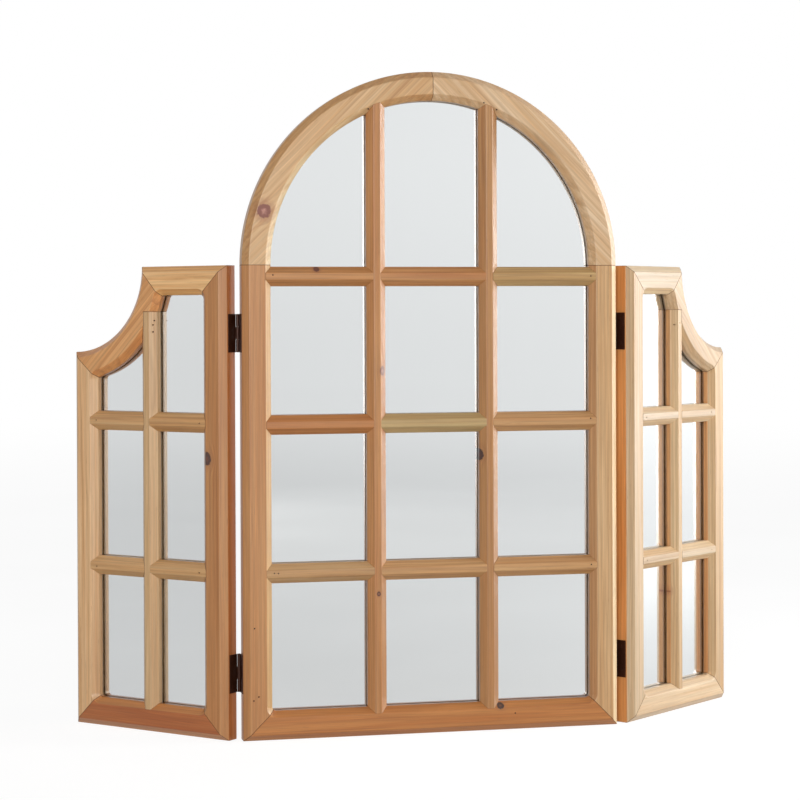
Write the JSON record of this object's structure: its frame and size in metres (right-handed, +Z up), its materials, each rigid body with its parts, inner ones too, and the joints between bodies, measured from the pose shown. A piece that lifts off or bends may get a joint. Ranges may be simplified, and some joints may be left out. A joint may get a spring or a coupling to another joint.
{
  "type": "triptych mirror",
  "caption": "Free-standing folding windowpane mirror in pine: an arched centre panel with glazing bars, and scooped wings hinged to fold back on each side.",
  "frame": {"origin": "middle of the flat underside of the centre panel's bottom rail", "axes": "+X to the right as the mirror is faced, +Y towards its back, +Z up"},
  "size_m": [0.9401, 0.213, 0.89],
  "materials": {
    "pine": "clear satin finish on natural pine",
    "mirror": "silvered flat glass",
    "hardboard": "smooth brown hardboard",
    "steel": "bright flat steel",
    "hinge_bronze": "dark bronze"
  },
  "bodies": {
    "centre_panel": {"centre_left_stile": "pine", "centre_right_stile": "pine", "centre_bottom_rail": "pine", "centre_arch_left": "pine", "centre_arch_right": "pine", "centre_bar_left": "pine", "centre_bar_right": "pine", "centre_crossbar_bottom_left": "pine", "centre_crossbar_bottom_middle": "pine", "centre_crossbar_bottom_right": "pine", "centre_crossbar_middle_left": "pine", "centre_crossbar_middle_middle": "pine", "centre_crossbar_middle_right": "pine", "centre_crossbar_top_left": "pine", "centre_crossbar_top_middle": "pine", "centre_crossbar_top_right": "pine", "centre_mirror": "mirror", "centre_backing": "hardboard", "centre_glazing_points": "steel", "hinge_pins": "hinge_bronze", "left_lower_hinge_centre_leaf": "hinge_bronze", "left_upper_hinge_centre_leaf": "hinge_bronze", "right_lower_hinge_centre_leaf": "hinge_bronze", "right_upper_hinge_centre_leaf": "hinge_bronze"},
    "left_wing": {"left_wing_hinge_stile": "pine", "left_wing_outer_stile": "pine", "left_wing_bottom_rail": "pine", "left_wing_top_rail": "pine", "left_wing_curved_rail": "pine", "left_wing_bar": "pine", "left_wing_crossbar_lower_inner": "pine", "left_wing_crossbar_lower_outer": "pine", "left_wing_crossbar_upper_inner": "pine", "left_wing_crossbar_upper_outer": "pine", "left_wing_mirror": "mirror", "left_wing_backing": "hardboard", "left_wing_glazing_points": "steel", "left_lower_hinge_wing_leaf": "hinge_bronze", "left_upper_hinge_wing_leaf": "hinge_bronze"},
    "right_wing": {"right_wing_hinge_stile": "pine", "right_wing_outer_stile": "pine", "right_wing_bottom_rail": "pine", "right_wing_top_rail": "pine", "right_wing_curved_rail": "pine", "right_wing_bar": "pine", "right_wing_crossbar_lower_inner": "pine", "right_wing_crossbar_lower_outer": "pine", "right_wing_crossbar_upper_inner": "pine", "right_wing_crossbar_upper_outer": "pine", "right_wing_mirror": "mirror", "right_wing_backing": "hardboard", "right_wing_glazing_points": "steel", "right_lower_hinge_wing_leaf": "hinge_bronze", "right_upper_hinge_wing_leaf": "hinge_bronze"}
  },
  "joints": [
    {"name": "left_wing_hinge", "type": "hinge", "parent": "centre_panel", "child": "left_wing", "pos_m": [-0.26225, 0.01125, 0.315], "axis": [0, 0, -1], "range_deg": [-45.5, 134.5]},
    {"name": "right_wing_hinge", "type": "hinge", "parent": "centre_panel", "child": "right_wing", "pos_m": [0.26225, 0.01125, 0.315], "axis": [0, 0, 1], "range_deg": [-38, 142]}
  ]
}
